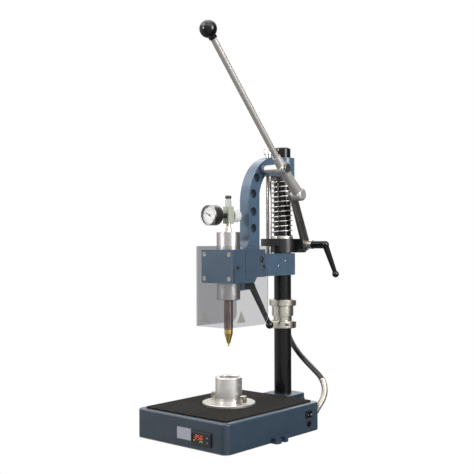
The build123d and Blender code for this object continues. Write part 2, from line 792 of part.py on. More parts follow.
def air_fitting():
    nut = Pos(0, 0, cylinder_top) * extrude(RegularPolygon(fitting_r, 6), 8)
    nut += z_rod(4.6, cylinder_top + 8, regulator_bottom)
    return nut + z_rod(3, cylinder_top - end_cap_top, cylinder_top)


def regulator_body():
    body = rounded(-regulator_half, regulator_half, -regulator_half, regulator_half,
                   regulator_bottom, regulator_top, 2)
    return body + y_rod(4, regulator_half, regulator_knob_start + 10, 0, gauge_z)


def gauge_case():
    case = y_rod(gauge_r, gauge_front, gauge_back, 0, gauge_z)
    case = fillet(case.faces().sort_by(Axis.Y)[-1].edges(), 4)
    case -= y_rod(gauge_r - 1.8, gauge_front - 1, gauge_front + 4, 0, gauge_z)
    return case + y_rod(gauge_stem_r, gauge_back - 1, -regulator_half, 0, gauge_z)


def gauge_lens():
    return y_rod(gauge_r - 1.8, gauge_front + 0.5, gauge_front + 1.5, 0, gauge_z)


def gauge_needle():
    y0 = gauge_front + 2.2
    needle = block(-0.5, 0.5, y0, y0 + 0.6, -5, 13)
    needle = Pos(0, 0, gauge_z) * Rot(0, gauge_rest_turn, 0) * needle
    return needle + y_rod(1.8, y0 - 0.2, gauge_front + 3.8, 0, gauge_z)


def regulator_knob():
    start = regulator_knob_start
    knob = y_rod(regulator_knob_r, start, start + regulator_knob_length, 0, gauge_z)
    knob = chamfer(knob.edges(), 1)
    for step in range(20):
        turn = math.radians(step * 18)
        knob -= y_rod(0.8, start + 5, start + regulator_knob_length + 1,
                      regulator_knob_r * math.cos(turn), gauge_z + regulator_knob_r * math.sin(turn))
    return knob - y_rod(4 + running, start - 1, start + 10.4, 0, gauge_z)


def inlet_fitting():
    neck = z_rod(inlet_neck_r, regulator_top, regulator_top + 12)
    neck += z_rod(inlet_collar_r, regulator_top + 12, regulator_top + 15)
    neck += ball(inlet_collar_r, 0, 0, regulator_top + 17)
    return neck - z_rod(tube_bore_r, regulator_top + 8, regulator_top + 30)


# ---- lever and link ---------------------------------------------------------------------
def crank_end():
    """The pin of the short arm of the lever, in Y and Z."""
    turn = math.radians(crank_angle)
    return lever_y + crank_length * math.cos(turn), lever_z + crank_length * math.sin(turn)


def along_lever(distance):
    """A point on the long arm of the lever."""
    turn = math.radians(lever_angle)
    return lever_x, lever_y - distance * math.cos(turn), lever_z + distance * math.sin(turn)


def lever_shaft():
    shaft = x_rod(shaft_r, -arch_half - 4, lever_x + lever_half + 1, lever_y, lever_z)
    shaft += x_rod(8.5, lever_x + lever_half + 1.3, lever_x + lever_half + 4, lever_y, lever_z)
    shaft += x_rod(4, lever_x + lever_half + 1, lever_x + lever_half + 1.3, lever_y, lever_z)
    return shaft - x_rod(3, lever_x + lever_half + 2, lever_x + lever_half + 5, lever_y, lever_z)


def lever_hub():
    y, z = crank_end()
    hub = x_rod(12.5, lever_x - lever_half, lever_x + lever_half, lever_y, lever_z)
    hub += x_rod(9, shaft_boss_end + air_gap, lever_x - lever_half, lever_y, lever_z)
    hub += between((lever_x, lever_y, lever_z), (lever_x, y, z), 10, lever_half - 0.2)
    boss = x_rod(14, lever_x - lever_half, lever_x + lever_half, y, z)
    hub += fillet(boss.faces().sort_by(Axis.X)[-1].edges(), 6)
    hub += between(along_lever(6), along_lever(30), 11, 8.2)
    pin_end = link_inner_x - air_gap
    hub += x_rod(link_pin_r, pin_end - 2, lever_x, y, z)
    hub += x_rod(link_top_r - 1, pin_end - 2, pin_end, y, z)
    return hub - x_rod(shaft_r + running, shaft_boss_end - 1, lever_x + lever_half + 2, lever_y, lever_z)


def lever_rod():
    return between(along_lever(30), along_lever(lever_length - ball_r + 2), lever_rod_r)


def ball_knob():
    knob = ball(ball_r, *along_lever(lever_length))
    knob += between(along_lever(lever_length - ball_r - 3), along_lever(lever_length), 8.5)
    return knob - between(along_lever(30), along_lever(lever_length - ball_r + 2), lever_rod_r)


def link():
    top_y, top_z = crank_end()
    x0, x1 = link_inner_x, link_inner_x + link_thickness
    bar = x_rod(link_top_r, x0, x1, top_y, top_z) + x_rod(link_bottom_r, x0, x1, pivot_y, pivot_z)
    run = Vector(0, top_y - pivot_y, top_z - pivot_z)
    across = Vector(0, -run.Z, run.Y).normalized()
    low, high = Vector(0, pivot_y, pivot_z), Vector(0, top_y, top_z)
    corners = [low + across * 11.5, high + across * 9.5, high - across * 9.5, low - across * 11.5]
    outline = Polyline(*[(c.Y, c.Z) for c in corners], close=True)
    bar += extrude(Plane.YZ.offset(x0) * make_face(outline), link_thickness)
    bar -= x_rod(link_slack_r, x0 - 1, x1 + 1, top_y, top_z)
    return bar - x_rod(pivot_r + running, x0 - 1, x1 + 1, pivot_y, pivot_z)


def link_pin():
    inner, outer = link_inner_x, link_inner_x + link_thickness
    pin = x_rod(pivot_r, block_arm_x - 8, outer + air_gap, pivot_y, pivot_z)
    pin += x_rod(10, block_arm_x, inner - air_gap, pivot_y, pivot_z)
    pin += x_rod(9.5, outer + air_gap, handle_start_x - air_gap, pivot_y, pivot_z)
    return pin + x_rod(4, handle_start_x - 1, handle_elbow_x, pivot_y, pivot_z)


def clamp_block():
    body = z_rod(block_r, block_bottom, block_top, 0, column_y)
    body += block(block_left_x, block_arm_x, pivot_y - 16, pivot_y + 17, block_bottom, block_top)
    body = chamfer(body.edges().filter_by(Axis.Y).sort_by(Axis.X)[-2:].sort_by(Axis.Z)[0:1], 9)
    body += block(-ear_half, ear_half, ear_front, column_y - 10, ear_bottom, block_top)
    cx, cy = cable_ear
    body += block(cx - 10, block_left_x + 4, pivot_y - 6, cy + 10, cable_route[-1][2], block_top - 3)
    body -= z_rod(column_r + running, block_bottom - 1, block_top + 1, 0, column_y)
    body -= block(-1.2, 1.2, column_y, pivot_y + 18, block_bottom - 1, block_top + 1)
    body -= z_rod(guide_r + running, ear_bottom - 1, block_top + 1, 0, guide_y)
    return body - x_rod(pivot_r, block_arm_x - 8, block_arm_x + 1, pivot_y, pivot_z)


def spring_washer():
    return ring(washer_r, column_r + 0.5, block_top, washer_top, 0, column_y)


def return_spring():
    height = spring_top - washer_top - 2 * spring_wire_r - 0.4
    coil = Helix(pitch=height / spring_turns, height=height, radius=spring_mean_r)
    wire = sweep(Plane(origin=coil @ 0, z_dir=coil % 0) * Circle(spring_wire_r), path=coil, is_frenet=True)
    return Pos(0, column_y, washer_top + spring_wire_r + 0.2) * wire


def clamp_handle():
    elbow = (handle_elbow_x + 1, pivot_y, pivot_z)
    tip = (handle_elbow_x + 12, pivot_y + 23, pivot_z - 64)
    hub = x_rod(handle_hub_r, handle_start_x, elbow[0], pivot_y, pivot_z)
    hub += ball(handle_hub_r, *elbow)
    hub += between(elbow, tip, 7, 4.6) + ball(handle_ball_r, *tip)
    return hub - x_rod(4 + running, handle_start_x - 1, handle_elbow_x + 0.4, pivot_y, pivot_z)


def lower_lock_handle():
    elbow = (lock_x, lock_elbow_y, lock_z)
    tip = (lock_x + 15, lock_elbow_y + 42, lock_z - 85)
    hub = y_rod(8, lock_start_y, lock_elbow_y, lock_x, lock_z) + ball(8, *elbow)
    hub += between(elbow, tip, 7, 5) + ball(8.5, *tip)
    return hub + y_rod(4, cylinder_r + 1.2, lock_start_y, lock_x, lock_z)


# ---- cable ------------------------------------------------------------------------------
def cable():
    points = [Vector(*p) for p in cable_route]
    radii = []
    for before, here, after in zip(points, points[1:], points[2:]):
        into, out = here - before, after - here
        half_turn = math.radians(into.get_angle(out)) / 2
        radii.append(0.45 * min(into.length, out.length) / math.tan(half_turn))
    print("cable arc radii, mm:", [round(r) for r in radii])
    path = FilletPolyline(*points, radius=radii)
    tube = sweep(Plane(origin=path @ 0, z_dir=path % 0) * Circle(cable_r), path=path)
    print("cable length, mm:", round(path.length), "volume over section:",
          round(tube.volume / (math.pi * cable_r ** 2)))
    return tube


nodes = {
    "base_housing": base_housing, "bolt_down_lugs": bolt_down_lugs, "base_cover_plate": base_cover_plate,
    "cover_screws": cover_screws, "work_mat": work_mat, "column_foot": column_foot,
    "column_foot_screw": column_foot_screw, "column": column, "nest_flange": nest_flange,
    "nest_tube": nest_tube, "nest_screw_left": lambda: nest_screw(-nest_screw_x),
    "nest_screw_right": lambda: nest_screw(nest_screw_x), "controller_case": controller_case,
    "controller_window": controller_window,
    "controller_key_lower": lambda: controller_key(key_heights()[0]),
    "controller_key_upper": lambda: controller_key(key_heights()[1]),
    "badge_plate": badge_plate, "switch_frame": switch_frame, "switch_rocker": switch_rocker,
    "fuse_holder": fuse_holder, "fuse_cap": fuse_cap, "power_inlet": power_inlet,
    "base_gland": base_gland, "power_board": power_board, "stop_lower_collar": stop_lower_collar,
    "stop_collar_screw": stop_collar_screw, "stop_sleeve": stop_sleeve,
    "stop_upper_collar": stop_upper_collar, "head_casting": head_casting, "head_cap": head_cap,
    "head_screws": head_screws, "head_bushes": head_bushes, "guide_rod": guide_rod,
    "guide_rod_knob": guide_rod_knob, "guard": guard, "guard_screws": guard_screws,
    "cylinder_tube": cylinder_tube, "cylinder_end_caps": cylinder_end_caps, "piston": piston,
    "heater_barrel": heater_barrel, "brass_tip": brass_tip, "air_fitting": air_fitting,
    "regulator_body": regulator_body, "gauge_case": gauge_case, "gauge_lens": gauge_lens,
    "gauge_needle": gauge_needle, "regulator_knob": regulator_knob, "inlet_fitting": inlet_fitting,
    "lever_shaft": lever_shaft, "lever_hub": lever_hub, "lever_rod": lever_rod, "ball_knob": ball_knob,
    "link": link, "link_pin": link_pin, "clamp_block": clamp_block, "spring_washer": spring_washer,
    "return_spring": return_spring, "clamp_handle": clamp_handle,
    "lower_lock_handle": lower_lock_handle, "cable": cable,
}

os.makedirs("parts", exist_ok=True)
for name, make in nodes.items():
    export_step(make(), f"parts/{name}.step")
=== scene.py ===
"""Finish, marks and studio for the bench heat-insertion press."""
import math

import bmesh
import bpy
from bpy.props import FloatProperty, FloatVectorProperty, IntProperty, StringProperty
from mathutils import Matrix, Vector


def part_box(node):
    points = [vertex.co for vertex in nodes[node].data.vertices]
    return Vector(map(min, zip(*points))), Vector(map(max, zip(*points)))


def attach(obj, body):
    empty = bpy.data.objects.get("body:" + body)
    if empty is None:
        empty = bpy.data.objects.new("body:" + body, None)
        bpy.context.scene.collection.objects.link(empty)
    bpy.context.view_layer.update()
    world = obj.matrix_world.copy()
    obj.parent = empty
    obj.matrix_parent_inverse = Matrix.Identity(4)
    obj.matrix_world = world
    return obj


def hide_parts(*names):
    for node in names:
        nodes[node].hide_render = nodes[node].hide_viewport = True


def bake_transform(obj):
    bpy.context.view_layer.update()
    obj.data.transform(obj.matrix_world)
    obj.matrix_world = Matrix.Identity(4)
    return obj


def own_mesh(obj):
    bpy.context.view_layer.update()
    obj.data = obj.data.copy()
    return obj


bl_info = {
    "name": "Bench insertion press",
    "version": (1, 0, 0),
    "blender": (4, 5, 0),
    "location": "3D View > Sidebar > Press",
    "description": "Finishes, marks, cable and studio for a bench heat-insertion press",
    "category": "Object",
}

MM = 0.001
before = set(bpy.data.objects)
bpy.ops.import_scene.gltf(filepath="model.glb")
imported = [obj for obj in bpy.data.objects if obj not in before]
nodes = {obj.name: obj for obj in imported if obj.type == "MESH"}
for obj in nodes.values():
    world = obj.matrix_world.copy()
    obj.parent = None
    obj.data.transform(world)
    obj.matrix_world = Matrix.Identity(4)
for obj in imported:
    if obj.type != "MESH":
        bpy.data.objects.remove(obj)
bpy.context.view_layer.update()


def linear(code):
    """A colour written as sRGB hex, as linear red, green and blue."""
    parts = [int(code[i:i + 2], 16) / 255 for i in (1, 3, 5)]
    return [p / 12.92 if p <= 0.04045 else ((p + 0.055) / 1.055) ** 2.4 for p in parts]


# ---- what a user may change --------------------------------------------------------------
class PressFinish(bpy.types.PropertyGroup):
    """Colours and surface sizes of the press."""
    enamel: FloatVectorProperty(name="Enamel", description="Colour of the painted castings",
                                subtype="COLOR", default=linear("#44596d"), min=0, max=1)
    enamel_orange_peel: FloatProperty(name="Orange peel", description="Ripple size of the enamel",
                                      default=1.6 * MM, min=0.0001, max=0.01, unit="LENGTH", precision=4)
    mat_grit: FloatProperty(name="Mat grit", description="Grain size of the rubber mat",
                            default=1.1 * MM, min=0.0002, max=0.01, unit="LENGTH", precision=4)
    turning_pitch: FloatProperty(name="Turning pitch", description="Spacing of the lathe marks, drawn coarse",
                                 default=0.9 * MM, min=0.0001, max=0.01, unit="LENGTH", precision=4)
    brass: FloatVectorProperty(name="Brass", description="Colour of the heated tip",
                               subtype="COLOR", default=linear("#b8a05a"), min=0, max=1)
    guard_tint: FloatVectorProperty(name="Guard tint", description="Tint of the clear guard",
                                    subtype="COLOR", default=(0.92, 0.92, 0.926), min=0, max=1)


class PressMarks(bpy.types.PropertyGroup):
    """Readings and marks."""
    set_point: StringProperty(name="Reading", description="Digits on the temperature display", default="250")
    digit_height: FloatProperty(name="Digit height", description="Height of the display's digits",
                                default=7.6 * MM, min=0.002, max=0.02, unit="LENGTH", precision=4)
    gauge_top: IntProperty(name="Gauge top", description="Highest number on the gauge", default=10, min=4, max=20)
    edge_round: FloatProperty(name="Edge round", description="Rounding of the castings' edges",
                              default=1.1 * MM, min=0.0, max=0.004, unit="LENGTH", precision=4)


class PressCable(bpy.types.PropertyGroup):
    """The heater's cable."""
    diameter: FloatProperty(name="Diameter", description="Outside diameter of the cable",
                            default=12 * MM, min=0.004, max=0.02, unit="LENGTH", precision=4)
    armour_length: FloatProperty(name="Armour", description="Length of the metal sleeve above the gland",
                                 default=62 * MM, min=0.0, max=0.2, unit="LENGTH", precision=4)


# ---- nodes -------------------------------------------------------------------------------
def add(tree, kind, settings=None, **links):
    """Adds one shader node. Settings name properties or inputs; links name the inputs they feed."""
    node = tree.nodes.new(kind)
    for key, value in (settings or {}).items():
        if hasattr(node, key) and key not in node.inputs:
            setattr(node, key, value)
        else:
            node.inputs[key].default_value = value
    for key, output in links.items():
        tree.links.new(output, node.inputs[int(key[1:]) if key[0] == "_" else key.replace("_", " ")])
    return node


def shade(colour, factor):
    """A colour made darker or lighter."""
    return [min(1.0, c * factor) for c in colour[:3]] + [1.0]


def finish_material(name, colour, metallic, roughness, spread=0.12, mottle=30 * MM, grain=2 * MM,
                    stretch=(1, 1, 1), bump=0.05, bump_depth=0.1 * MM, rough_spread=0.08, **sockets):
    """A surface with slow mottling in colour, grain in roughness and a fine relief.
    Mottle and grain are sizes in metres; stretch squeezes the grain along an axis."""
    material = bpy.data.materials.new(name)
    material.use_nodes = True
    tree = material.node_tree
    tree.nodes.clear()
    place = add(tree, "ShaderNodeTexCoord").outputs["Object"]
    slow = add(tree, "ShaderNodeTexNoise", {"Scale": 1 / mottle, "Detail": 4.0, "Roughness": 0.6}, Vector=place)
    ramp = add(tree, "ShaderNodeValToRGB", Fac=slow.outputs["Fac"])
    ramp.color_ramp.elements[0].position = 0.3
    ramp.color_ramp.elements[0].color = shade(colour, 1 - spread)
    ramp.color_ramp.elements[1].position = 0.7
    ramp.color_ramp.elements[1].color = shade(colour, 1 + spread)
    squeezed = add(tree, "ShaderNodeMapping", {"Scale": stretch}, Vector=place)
    fine = add(tree, "ShaderNodeTexNoise", {"Scale": 1 / grain, "Detail": 3.0, "Roughness": 0.55},
               Vector=squeezed.outputs["Vector"])
    rough = add(tree, "ShaderNodeMapRange", {"From Min": 0.3, "From Max": 0.7,
                                             "To Min": max(0.02, roughness - rough_spread),
                                             "To Max": min(1.0, roughness + rough_spread)},
                Value=fine.outputs["Fac"])
    relief = add(tree, "ShaderNodeBump", {"Strength": bump, "Distance": bump_depth},
                 Height=fine.outputs["Fac"])
    shader = add(tree, "ShaderNodeBsdfPrincipled", {"Metallic": metallic, **sockets},
                 Base_Color=ramp.outputs["Color"], Roughness=rough.outputs["Result"],
                 Normal=relief.outputs["Normal"])
    add(tree, "ShaderNodeOutputMaterial", Surface=shader.outputs["BSDF"])
    return material


def settings():
    """The three groups of values, from the scene."""
    scene = bpy.context.scene
    return scene.press_finish, scene.press_marks, scene.press_cable


# Stoving enamel sprayed on cast aluminium: a satin film with a faint ripple, slightly clouded.
# The base's copy has a flatter coat, and depth darkens its colour as painted shade, since the base gets less light
# than the head.
def enamel(name="stoving_enamel", depth=1.0, gloss=0.5):
    values = settings()[0]
    return finish_material(name, shade(values.enamel, depth), 0.0, 0.4, spread=0.10, mottle=26 * MM,
                           grain=values.enamel_orange_peel, bump=0.22, bump_depth=0.12 * MM,
                           rough_spread=0.06, **{"IOR": 1.5, "Specular IOR Level": 0.35,
                                                 "Coat Weight": gloss, "Coat Roughness": 0.1})


# Moulded nitrile rubber with a gritty skin: matt, warm black, lighter where it is rubbed.
def mat_rubber():
    return finish_material("gritty_nitrile", linear("#252320"), 0.0, 0.9, spread=0.35, mottle=9 * MM,
                           grain=settings()[0].mat_grit, bump=0.9, bump_depth=0.5 * MM, rough_spread=0.08,
                           **{"IOR": 1.5, "Specular IOR Level": 0.1})


# Hard-chromed and blacked steel bar: near black, with long sharp highlights.
def black_bar():
    return finish_material("blacked_bar", linear("#0b0b0d"), 0.0, 0.2, spread=0.25, mottle=40 * MM,
                           grain=1.5 * MM, stretch=(1, 1, 0.08), bump=0.06, rough_spread=0.05,
                           **{"IOR": 1.5, "Specular IOR Level": 0.3})


# Turned aluminium: pale, with rings left by the lathe tool.
def turned(name, code, roughness=0.24, axis=2, metallic=1.0):
    pitch = settings()[0].turning_pitch
    stretch = [0.02, 0.02, 0.02]
    stretch[axis] = 1.0
    return finish_material(name, linear(code), metallic, roughness, spread=0.05, mottle=18 * MM, grain=pitch,
                           stretch=stretch, bump=0.05, bump_depth=0.02 * MM, rough_spread=0.04)


# Bright nickel plate on steel: warm and a little cloudy.
def nickel():
    return finish_material("nickel_plate", linear("#cfcabf"), 1.0, 0.2, spread=0.08, mottle=10 * MM,
                           grain=0.7 * MM, bump=0.08, bump_depth=0.05 * MM)


# Satin chrome on a cast lever: soft highlights from bead blasting.
def satin_chrome():
    return finish_material("satin_chrome", linear("#b0adaa"), 0.85, 0.5, spread=0.06, mottle=14 * MM,
                           grain=1.2 * MM, bump=0.03, bump_depth=0.02 * MM, rough_spread=0.05)


# Ground flat bar: grey steel, brushed along its length.
def brushed_bar():
    return finish_material("brushed_steel", linear("#7d7a76"), 1.0, 0.36, spread=0.12, mottle=20 * MM,
                           grain=0.8 * MM, stretch=(1.0, 1.0, 0.06), bump=0.2, bump_depth=0.05 * MM,
                           rough_spread=0.12)


# Drawn spring wire: bright, with fine lines.
def spring_wire():
    return finish_material("drawn_wire", linear("#c9c4bf"), 1.0, 0.22, spread=0.12, mottle=6 * MM,
                           grain=0.5 * MM, bump=0.1, bump_depth=0.04 * MM)


# Machined brass that has been hot: yellow with a tan bloom.
def brass():
    return finish_material("heated_brass", settings()[0].brass, 1.0, 0.28, spread=0.22, mottle=5 * MM,
                           grain=0.6 * MM, stretch=(0.1, 0.1, 1.0), bump=0.2, bump_depth=0.05 * MM)


# Sintered bronze: brown, with open pores.
def bronze():
    return finish_material("sintered_bronze", linear("#6a6560"), 1.0, 0.4, spread=0.15, mottle=5 * MM,
                           grain=0.5 * MM, bump=0.3, bump_depth=0.1 * MM)


# Moulded ABS from a spark-eroded tool: dark, fine pitted skin.
def moulded(name, code, roughness=0.45):
    return finish_material(name, linear(code), 0.0, roughness, spread=0.1, mottle=12 * MM,
                           grain=0.6 * MM, bump=0.18, bump_depth=0.06 * MM, **{"IOR": 1.53})


# Polished phenolic: black, with sharp small highlights.
def phenolic():
    return finish_material("polished_phenolic", linear("#0a090a"), 0.0, 0.13, spread=0.3, mottle=15 * MM,
                           grain=2.5 * MM, bump=0.04, rough_spread=0.05,
                           **{"IOR": 1.5, "Specular IOR Level": 0.4})


def see_through(material, tint, least, most, blend):
    """Lets a surface be seen through: least of its own look face on, most of it edge on."""
    tree = material.node_tree
    shader = next(n for n in tree.nodes if n.type == "BSDF_PRINCIPLED")
    facing = add(tree, "ShaderNodeLayerWeight", {"Blend": blend})
    cover = add(tree, "ShaderNodeMapRange", {"To Min": least, "To Max": most}, Value=facing.outputs["Facing"])
    clear = add(tree, "ShaderNodeBsdfTransparent", {"Color": (*tint, 1)})
    mix = add(tree, "ShaderNodeMixShader", _0=cover.outputs["Result"], _1=clear.outputs["BSDF"],
              _2=shader.outputs["BSDF"])
    tree.links.new(mix.outputs["Shader"], tree.nodes["Material Output"].inputs["Surface"])
    return material


# Bent polycarbonate sheet: clear, greyed by its two faces, with faint reflections.
def polycarbonate():
    tint = settings()[0].guard_tint
    material = finish_material("polycarbonate", linear("#7e8084"), 0.0, 0.08, spread=0.02, mottle=60 * MM,
                               grain=8 * MM, bump=0.02, rough_spread=0.03, **{"IOR": 1.586})
    return see_through(material, tint, 0.02, 0.24, 0.2)


# The sheet's sawn and flamed edge: frosted, and paler than its faces.
def sawn_edge():
    material = finish_material("flamed_edge", linear("#c4c6ca"), 0.0, 0.35, spread=0.08, mottle=12 * MM,
                               grain=1 * MM, bump=0.2, **{"IOR": 1.586})
    return see_through(material, (0.9, 0.9, 0.92), 0.45, 0.8, 0.4)


# Thin window over a dial: almost nothing but its reflection.
def lens_glass():
    material = finish_material("lens_acrylic", linear("#ffffff"), 0.0, 0.04, spread=0.01, bump=0.01,
                               rough_spread=0.02, **{"IOR": 1.49})
    return see_through(material, (0.97, 0.97, 0.97), 0.03, 0.25, 0.2)


# A lit segment of a display: it glows, a little unevenly.
def glowing(name, code, strength=1.0):
    material = finish_material(name, linear(code), 0.0, 0.4, spread=0.1, mottle=4 * MM, grain=1 * MM,
                               **{"Emission Color": linear(code) + [1.0], "Emission Strength": strength})
    return material


# Braided glass sleeve, impregnated black: a fine criss-cross.
def sleeve():
    return finish_material("braided_sleeve", linear("#151516"), 0.0, 0.38, spread=0.25, mottle=4 * MM,
                           grain=0.9 * MM, bump=0.5, bump_depth=0.2 * MM, **{"Coat Weight": 0.3, "IOR": 1.5})


def dress(material, *names, bevel=0.0):
    """Gives CAD nodes a finish, smooth shading and, where cast or sawn, rounded edges."""
    for name in names:
        piece = nodes[name]
        piece.data.materials.clear()
        piece.data.materials.append(material)
        piece.data.shade_smooth()
        piece.data.set_sharp_from_angle(angle=math.radians(32))
        if bevel:
            weld = piece.modifiers.new("weld", "WELD")
            weld.merge_threshold = 0.00001
            rounding = piece.modifiers.new("edges", "BEVEL")
            rounding.width = bevel
            rounding.segments = 2
            rounding.limit_method = "ANGLE"
            rounding.angle_limit = math.radians(40)
            flatten = piece.modifiers.new("flat_faces", "WEIGHTED_NORMAL")
            flatten.keep_sharp = True


# ---- mesh makers -------------------------------------------------------------------------
def piece_from(name, bm, material, body, smooth=False):
    """Turns a bmesh into a piece that rides on a body."""
    bmesh.ops.recalc_face_normals(bm, faces=bm.faces)
    mesh = bpy.data.meshes.new(name)
    bm.to_mesh(mesh)
    bm.free()
    if smooth:
        mesh.shade_smooth()
    mesh.materials.append(material)
    piece = bpy.data.objects.new(name, mesh)
    bpy.context.scene.collection.objects.link(piece)
    if body:
        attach(piece, body)
    return piece


def slab(bm, outline, origin, across, up, depth):
    """A thin plate with the given outline, in a plane through origin, pushed back by depth."""
    out = across.cross(up).normalized()
    front = [bm.verts.new(origin + across * a + up * b) for a, b in outline]
    back = [bm.verts.new(origin + across * a + up * b - out * depth) for a, b in outline]
    bm.faces.new(front)
    bm.faces.new(list(reversed(back)))
    for i in range(len(outline)):
        j = (i + 1) % len(outline)
        bm.faces.new([front[j], front[i], back[i], back[j]])


def rectangle(x, y, w, h):
    return [(x - w / 2, y - h / 2), (x + w / 2, y - h / 2), (x + w / 2, y + h / 2), (x - w / 2, y + h / 2)]


def circle(r, count=48, x=0.0, y=0.0):
    return [(x + r * math.cos(2 * math.pi * i / count), y + r * math.sin(2 * math.pi * i / count))
            for i in range(count)]


def tube_along(path, radius, sides=20):
    """A closed tube along points; radius is a function of the distance from its start."""
    bm = bmesh.new()
    rings = []
    travelled = 0.0
    side = Vector((1, 0, 0))
    for i, point in enumerate(path):
        ahead = path[min(i + 1, len(path) - 1)] - path[max(i - 1, 0)]
        ahead.normalize()
        side = (side - ahead * side.dot(ahead)).normalized()
        other = ahead.cross(side)
        if i:
            travelled += (point - path[i - 1]).length
        r = radius(travelled)
        rings.append([bm.verts.new(point + (side * math.cos(t) + other * math.sin(t)) * r)
                      for t in (2 * math.pi * k / sides for k in range(sides))])
    for a, b in zip(rings, rings[1:]):
        for k in range(sides):
            bm.faces.new([a[k], a[(k + 1) % sides], b[(k + 1) % sides], b[k]])
    bm.faces.new(list(reversed(rings[0])))
    bm.faces.new(rings[-1])
    return bm


def spun(profile, centre, axis, count=48):
    """A turned shape: (radius, height) points spun about an axis. Radius 0 closes an end."""
    bm = bmesh.new()
    across = axis.orthogonal().normalized()
    up = axis.cross(across)
    rings = []
    for r, h in profile:
        if r == 0:
            rings.append([bm.verts.new(centre + axis * h)])
        else:
            rings.append([bm.verts.new(centre + axis * h + across * a + up * b) for a, b in circle(r, count)])
    pairs = list(zip(rings, rings[1:]))
    if len(rings[0]) > 1:
        pairs.append((rings[-1], rings[0]))
    for low, high in pairs:
        for i in range(count):
            j = (i + 1) % count
            corners = [low[i % len(low)], low[j % len(low)], high[j % len(high)], high[i % len(high)]]
            bm.faces.new(list(dict.fromkeys(corners)))
    return bm


# ---- camera, floor and light -------------------------------------------------------------
CAMERA_PLACE = (1.1314, -1.2768, 0.3907)
CAMERA_TURN = (90.39, 0.14, 40.95)
CAMERA_LENS = 63.04


# What shines in the metal: brightness of the studio's walls round the compass, from -180 degrees.
PANELS = ((-180, 0.45), (-155, 0.9), (-135, 1.05), (-118, 0.7), (-95, 0.6), (-75, 0.75), (-50, 0.95),
          (-20, 0.95), (8, 0.9), (26, 0.3), (44, 0.16), (70, 0.1), (90, 0.3), (112, 0.7), (145, 0.75),
          (180, 0.45))
# The same from straight down (0) to straight up (1), as shares of the ring light overhead.
RING_LIGHT = 3.5
HEIGHTS = ((0.0, 0.14), (0.25, 0.16), (0.5, 0.28), (0.7, 0.28), (0.76, 1.0), (0.88, 1.0), (0.94, 0.3))


